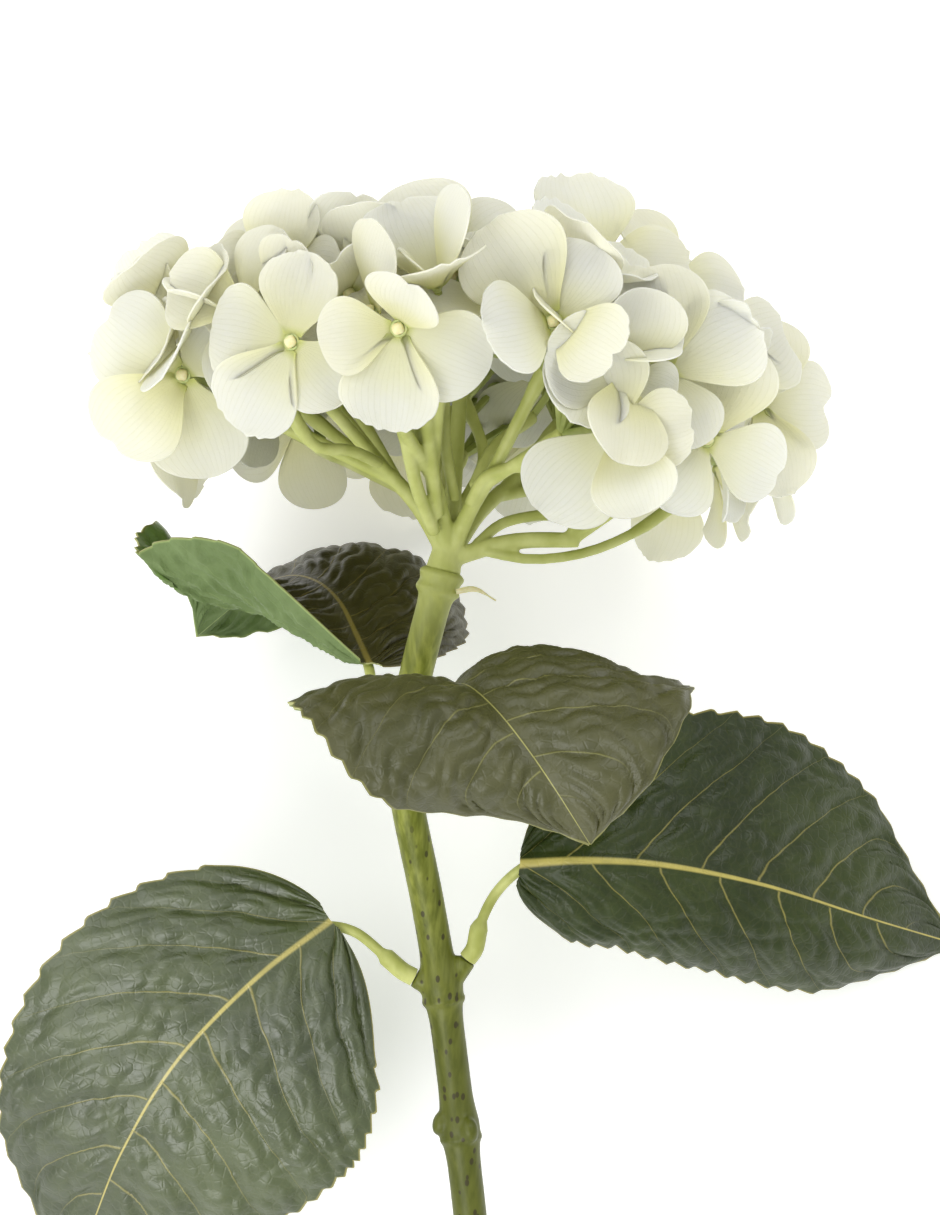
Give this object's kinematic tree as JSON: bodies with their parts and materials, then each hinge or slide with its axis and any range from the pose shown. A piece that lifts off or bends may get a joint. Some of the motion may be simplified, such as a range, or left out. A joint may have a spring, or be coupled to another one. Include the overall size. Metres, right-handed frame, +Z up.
{
  "type": "cut hydrangea",
  "caption": "Cut mophead hydrangea lying on its back: a bare jointed stem, toothed leaves on petioles and a domed head of creamy white florets.",
  "frame": {"origin": "on the surface it lies on, below the middle of its bounding box", "axes": "+Z up from that surface, +Y along the stem from the cut end towards the flower head, +X to the right of the flower as seen from above"},
  "size_m": [0.245, 0.3344, 0.1834],
  "materials": {
    "stem": "satin",
    "petiole": "satin",
    "branch": "satin",
    "leaf": "satin",
    "sepal": "matte"
  },
  "bodies": {
    "root": {"stem": "stem", "petiole_lower_left": "petiole", "leaf_lower_left": "leaf", "petiole_lower_right": "petiole", "leaf_lower_right": "leaf", "petiole_upper_front": "petiole", "leaf_upper_front": "leaf", "petiole_upper_back": "petiole", "leaf_upper_back": "leaf", "flower_branches": "branch", "floret_01": "sepal", "floret_02": "sepal", "floret_03": "sepal", "floret_04": "sepal", "floret_05": "sepal", "floret_06": "sepal", "floret_07": "sepal", "floret_08": "sepal", "floret_09": "sepal", "floret_10": "sepal", "floret_11": "sepal", "floret_12": "sepal", "floret_13": "sepal", "floret_14": "sepal", "floret_15": "sepal", "floret_16": "sepal", "floret_17": "sepal", "floret_18": "sepal", "floret_19": "sepal", "floret_20": "sepal", "floret_21": "sepal", "floret_22": "sepal", "floret_23": "sepal", "floret_24": "sepal", "floret_25": "sepal", "floret_26": "sepal", "floret_27": "sepal", "floret_28": "sepal", "floret_29": "sepal", "floret_30": "sepal", "floret_31": "sepal", "floret_32": "sepal", "floret_33": "sepal", "floret_34": "sepal", "floret_35": "sepal", "floret_36": "sepal", "floret_37": "sepal", "floret_38": "sepal", "floret_39": "sepal", "floret_40": "sepal", "floret_41": "sepal"}
  },
  "joints": []
}
